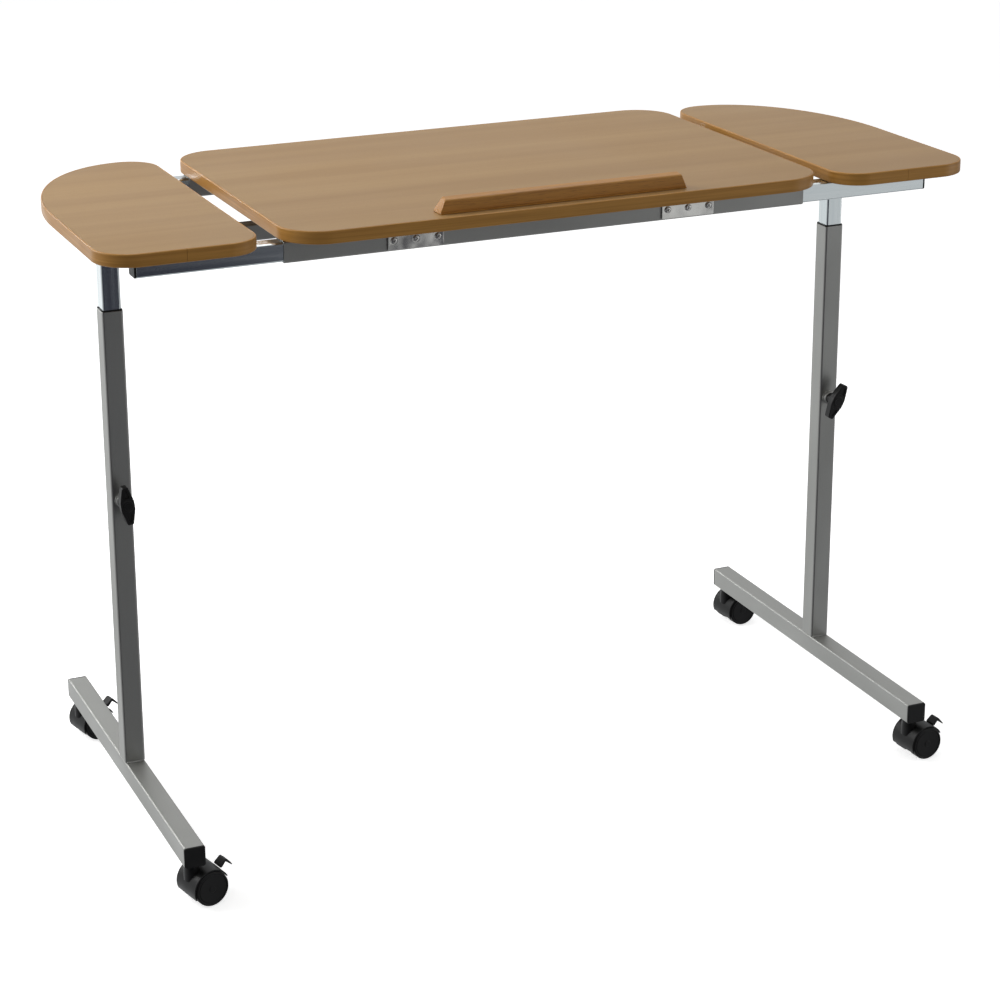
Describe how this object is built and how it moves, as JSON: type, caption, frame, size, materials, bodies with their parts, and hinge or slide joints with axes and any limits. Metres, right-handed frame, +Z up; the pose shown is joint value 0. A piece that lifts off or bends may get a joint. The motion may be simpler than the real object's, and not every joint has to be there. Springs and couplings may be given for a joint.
{
  "type": "overbed table",
  "caption": "Overbed table on castors with a tilting centre tray, fixed side flaps, a width-adjustable top frame and height-adjustable masts.",
  "frame": {"origin": "on the floor, under the middle of the table's bounding box at rest", "axes": "+X along the table's long side, +Y away from the user towards the back edge, +Z up"},
  "size_m": [1.076, 0.5277, 0.7838],
  "materials": {
    "silver_paint": "satin silver-grey powder coat",
    "zinc_plate": "bright zinc plate, faintly blue",
    "bright_steel": "polished nickel-plated steel",
    "beech_laminate": "satin beech laminate with a golden-brown edging",
    "black_plastic": "moulded black plastic, faint texture"
  },
  "bodies": {
    "centre_frame": {"front_rail": "silver_paint", "rear_rail": "silver_paint", "mid_rail": "silver_paint", "left_tie": "silver_paint", "left_rack": "bright_steel", "left_hinge_frame_leaf": "bright_steel", "right_tie": "silver_paint", "right_rack": "bright_steel", "right_hinge_frame_leaf": "bright_steel"},
    "tray": {"tray_board": "beech_laminate", "book_ledge": "beech_laminate", "left_hinge_tray_leaf": "bright_steel", "left_bail_saddle": "bright_steel", "right_hinge_tray_leaf": "bright_steel", "right_bail_saddle": "bright_steel"},
    "bail": {"tilt_bail": "bright_steel"},
    "left_frame": {"left_flap_board": "beech_laminate", "left_front_slide_rail": "zinc_plate", "left_rear_slide_rail": "zinc_plate", "left_cross_member": "zinc_plate", "left_inner_mast": "zinc_plate", "left_front_slide_cap": "black_plastic", "left_rear_slide_cap": "black_plastic"},
    "left_base": {"left_mast_tube": "silver_paint", "left_mast_collar": "black_plastic", "left_foot_tube": "silver_paint", "left_front_foot_cap": "black_plastic", "left_rear_foot_cap": "black_plastic", "left_front_castor_stem": "bright_steel", "left_rear_castor_stem": "bright_steel"},
    "left_height_knob": {"left_height_knob": "black_plastic"},
    "left_width_knob": {"left_width_knob": "black_plastic"},
    "left_front_castor_hood": {"left_front_castor_hood": "black_plastic"},
    "left_front_castor_wheels": {"left_front_castor_wheels": "black_plastic"},
    "left_front_castor_brake": {"left_front_castor_brake": "black_plastic"},
    "left_rear_castor_hood": {"left_rear_castor_hood": "black_plastic"},
    "left_rear_castor_wheels": {"left_rear_castor_wheels": "black_plastic"},
    "left_rear_castor_brake": {"left_rear_castor_brake": "black_plastic"},
    "right_frame": {"right_flap_board": "beech_laminate", "right_front_slide_rail": "zinc_plate", "right_rear_slide_rail": "zinc_plate", "right_cross_member": "zinc_plate", "right_inner_mast": "zinc_plate", "right_front_slide_cap": "black_plastic", "right_rear_slide_cap": "black_plastic"},
    "right_base": {"right_mast_tube": "silver_paint", "right_mast_collar": "black_plastic", "right_foot_tube": "silver_paint", "right_front_foot_cap": "black_plastic", "right_rear_foot_cap": "black_plastic", "right_front_castor_stem": "bright_steel", "right_rear_castor_stem": "bright_steel"},
    "right_height_knob": {"right_height_knob": "black_plastic"},
    "right_width_knob": {"right_width_knob": "black_plastic"},
    "right_front_castor_hood": {"right_front_castor_hood": "black_plastic"},
    "right_front_castor_wheels": {"right_front_castor_wheels": "black_plastic"},
    "right_front_castor_brake": {"right_front_castor_brake": "black_plastic"},
    "right_rear_castor_hood": {"right_rear_castor_hood": "black_plastic"},
    "right_rear_castor_wheels": {"right_rear_castor_wheels": "black_plastic"},
    "right_rear_castor_brake": {"right_rear_castor_brake": "black_plastic"}
  },
  "joints": [
    {"name": "tray_tilt", "type": "hinge", "parent": "centre_frame", "child": "tray", "pos_m": [0, -0.1934, 0.7475], "axis": [1, 0, 0], "range_deg": [0, 35]},
    {"name": "bail_swing", "type": "hinge", "parent": "tray", "child": "bail", "pos_m": [0, -0.0334, 0.7475], "axis": [1, 0, 0], "range_deg": [-70, 0]},
    {"name": "left_width", "type": "slide", "parent": "left_frame", "child": "centre_frame", "axis": [1, 0, 0], "range_m": [-0.022, 0.15]},
    {"name": "left_height", "type": "slide", "parent": "left_base", "child": "left_frame", "axis": [0, 0, 1], "range_m": [-0.07, 0.22]},
    {"name": "left_height_knob_turn", "type": "hinge", "parent": "left_base", "child": "left_height_knob", "pos_m": [-0.474, -0.0199, 0.413], "axis": [0, -1, 0], "range_deg": [0, 360]},
    {"name": "left_width_knob_turn", "type": "hinge", "parent": "centre_frame", "child": "left_width_knob", "pos_m": [-0.238, 0.1641, 0.722], "axis": [0, 0, -1], "range_deg": [0, 360]},
    {"name": "right_width", "type": "slide", "parent": "centre_frame", "child": "right_frame", "axis": [1, 0, 0], "range_m": [-0.022, 0.15]},
    {"name": "right_height", "type": "slide", "parent": "right_frame", "child": "right_base", "axis": [0, 0, -1], "range_m": [-0.07, 0.22]},
    {"name": "right_height_knob_turn", "type": "hinge", "parent": "right_base", "child": "right_height_knob", "pos_m": [0.474, -0.0199, 0.413], "axis": [0, -1, 0], "range_deg": [0, 360]},
    {"name": "right_width_knob_turn", "type": "hinge", "parent": "centre_frame", "child": "right_width_knob", "pos_m": [0.238, 0.1641, 0.722], "axis": [0, 0, -1], "range_deg": [0, 360]},
    {"name": "left_front_castor_swivel", "type": "hinge", "parent": "left_base", "child": "left_front_castor_hood", "pos_m": [-0.474, -0.2414, 0.052], "axis": [0, 0, 1], "continuous": true},
    {"name": "left_front_castor_roll", "type": "hinge", "parent": "left_front_castor_hood", "child": "left_front_castor_wheels", "pos_m": [-0.45987, -0.23814, 0.021], "axis": [-0.225, 0.9744, 0], "continuous": true},
    {"name": "left_front_castor_pedal", "type": "hinge", "parent": "left_front_castor_hood", "child": "left_front_castor_brake", "pos_m": [-0.4397, -0.23348, 0.0372], "axis": [-0.225, 0.9744, 0], "range_deg": [0, 18]},
    {"name": "left_rear_castor_swivel", "type": "hinge", "parent": "left_base", "child": "left_rear_castor_hood", "pos_m": [-0.474, 0.2346, 0.052], "axis": [0, 0, 1], "continuous": true},
    {"name": "left_rear_castor_roll", "type": "hinge", "parent": "left_rear_castor_hood", "child": "left_rear_castor_wheels", "pos_m": [-0.45987, 0.23786, 0.021], "axis": [-0.225, 0.9744, 0], "continuous": true},
    {"name": "left_rear_castor_pedal", "type": "hinge", "parent": "left_rear_castor_hood", "child": "left_rear_castor_brake", "pos_m": [-0.4397, 0.24252, 0.0372], "axis": [-0.225, 0.9744, 0], "range_deg": [0, 18]},
    {"name": "right_front_castor_swivel", "type": "hinge", "parent": "right_base", "child": "right_front_castor_hood", "pos_m": [0.474, -0.2414, 0.052], "axis": [0, 0, 1], "continuous": true},
    {"name": "right_front_castor_roll", "type": "hinge", "parent": "right_front_castor_hood", "child": "right_front_castor_wheels", "pos_m": [0.48845, -0.24014, 0.021], "axis": [-0.0872, 0.9962, 0], "continuous": true},
    {"name": "right_front_castor_pedal", "type": "hinge", "parent": "right_front_castor_hood", "child": "right_front_castor_brake", "pos_m": [0.50907, -0.23833, 0.0372], "axis": [-0.0872, 0.9962, 0], "range_deg": [0, 18]},
    {"name": "right_rear_castor_swivel", "type": "hinge", "parent": "right_base", "child": "right_rear_castor_hood", "pos_m": [0.474, 0.2346, 0.052], "axis": [0, 0, 1], "continuous": true},
    {"name": "right_rear_castor_roll", "type": "hinge", "parent": "right_rear_castor_hood", "child": "right_rear_castor_wheels", "pos_m": [0.48845, 0.23586, 0.021], "axis": [-0.0872, 0.9962, 0], "continuous": true},
    {"name": "right_rear_castor_pedal", "type": "hinge", "parent": "right_rear_castor_hood", "child": "right_rear_castor_brake", "pos_m": [0.50907, 0.23767, 0.0372], "axis": [-0.0872, 0.9962, 0], "range_deg": [0, 18]}
  ],
  "couplings": [
    {"joint": "bail_swing", "follows": "tray_tilt", "ratio": -2},
    {"joint": "right_height", "follows": "left_height", "ratio": 1}
  ]
}
